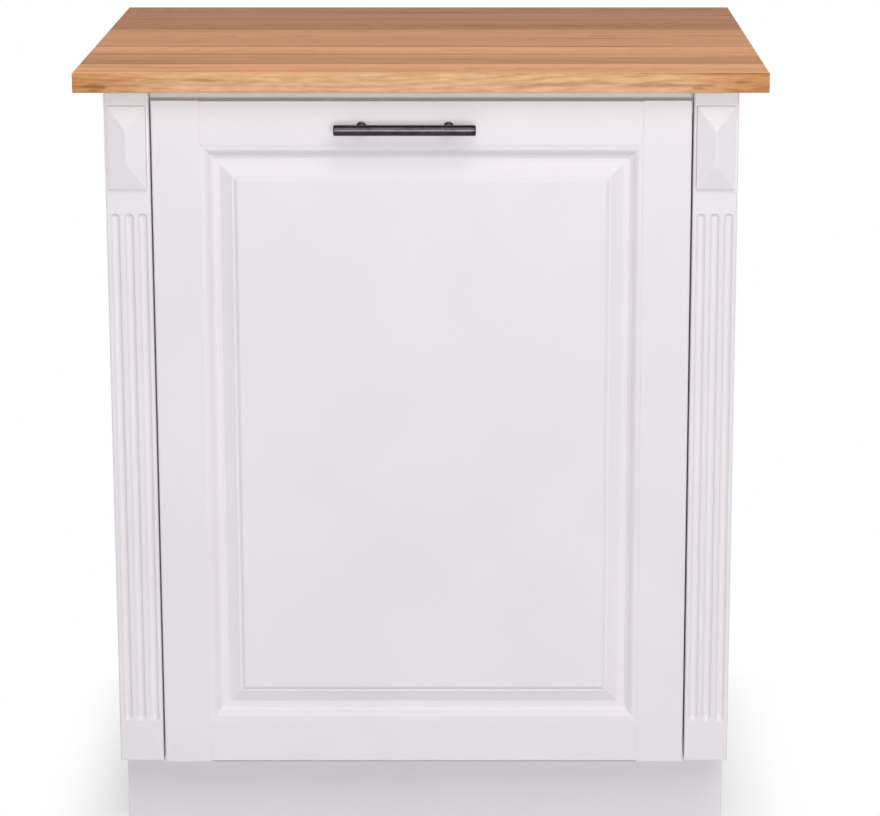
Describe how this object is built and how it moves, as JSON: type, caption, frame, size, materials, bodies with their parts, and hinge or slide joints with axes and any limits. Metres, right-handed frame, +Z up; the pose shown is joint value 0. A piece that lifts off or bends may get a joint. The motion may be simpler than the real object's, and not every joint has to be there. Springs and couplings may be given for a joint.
{
  "type": "tilt out vegetable bin cabinet",
  "caption": "Base cabinet with a wooden worktop, fluted pilasters and a raised-panel front that tilts out on a bottom hinge with a ventilated bin behind it.",
  "frame": {"origin": "on the floor, under the middle of the box from the front of the handle to the back edge of the worktop", "axes": "+Z up, +X to the right of someone facing the front, -Y out of the front"},
  "size_m": [0.76, 0.606, 0.902],
  "materials": {
    "oak": "oiled solid oak staves, satin",
    "white_paint": "white satin paint on board",
    "white_board": "white melamine board",
    "hardboard": "white faced hardboard",
    "birch_ply": "clear lacquered birch plywood",
    "dark_metal": "dark grey metal, satin",
    "steel": "zinc plated steel",
    "black_plastic": "black moulded plastic",
    "rubber": "soft grey rubber"
  },
  "bodies": {
    "cabinet": {"back_panel": "hardboard", "block_left": "white_paint", "block_right": "white_paint", "bottom_board": "white_board", "catch_left": "black_plastic", "catch_right": "black_plastic", "door_bumpers": "rubber", "front_rail": "white_board", "hinge_leaf_fixed_left": "steel", "hinge_leaf_fixed_right": "steel", "hinge_pin_left": "steel", "hinge_pin_right": "steel", "hinge_screws_fixed": "steel", "leg_socket_front_left": "black_plastic", "leg_socket_front_right": "black_plastic", "leg_socket_rear_left": "black_plastic", "leg_socket_rear_right": "black_plastic", "pilaster_left": "white_paint", "pilaster_right": "white_paint", "plinth_board": "white_paint", "plinth_clip_left": "black_plastic", "plinth_clip_right": "black_plastic", "post_left": "white_board", "post_right": "white_board", "rear_rail": "white_board", "side_left": "white_paint", "side_right": "white_paint", "stop_stud_left": "steel", "stop_stud_right": "steel", "worktop": "oak", "worktop_angles": "steel", "worktop_screws": "steel"},
    "tilting_front": {"bin_back": "birch_ply", "bin_bottom": "birch_ply", "bin_divider": "birch_ply", "bin_front": "birch_ply", "bin_screws": "steel", "bin_side_left": "birch_ply", "bin_side_right": "birch_ply", "door_panel": "white_paint", "door_rail_bottom": "white_paint", "door_rail_top": "white_paint", "door_stile_left": "white_paint", "door_stile_right": "white_paint", "handle_bar": "dark_metal", "handle_post_left": "dark_metal", "handle_post_right": "dark_metal", "handle_screws": "steel", "hinge_leaf_door_left": "steel", "hinge_leaf_door_right": "steel", "hinge_screws_door": "steel", "stay_left": "steel", "stay_right": "steel", "strike_left": "steel", "strike_right": "steel"},
    "foot_front_left": {"foot_front_left": "black_plastic"},
    "foot_front_right": {"foot_front_right": "black_plastic"},
    "foot_rear_left": {"foot_rear_left": "black_plastic"},
    "foot_rear_right": {"foot_rear_right": "black_plastic"}
  },
  "joints": [
    {"name": "front_tilt", "type": "hinge", "parent": "cabinet", "child": "tilting_front", "pos_m": [0, -0.2472, 0.09675], "axis": [1, 0, 0], "range_deg": [0, 35]},
    {"name": "foot_front_left_screw", "type": "slide", "parent": "cabinet", "child": "foot_front_left", "axis": [0, 0, -1], "range_m": [0, 0.02]},
    {"name": "foot_front_right_screw", "type": "slide", "parent": "cabinet", "child": "foot_front_right", "axis": [0, 0, -1], "range_m": [0, 0.02]},
    {"name": "foot_rear_left_screw", "type": "slide", "parent": "cabinet", "child": "foot_rear_left", "axis": [0, 0, -1], "range_m": [0, 0.02]},
    {"name": "foot_rear_right_screw", "type": "slide", "parent": "cabinet", "child": "foot_rear_right", "axis": [0, 0, -1], "range_m": [0, 0.02]}
  ]
}
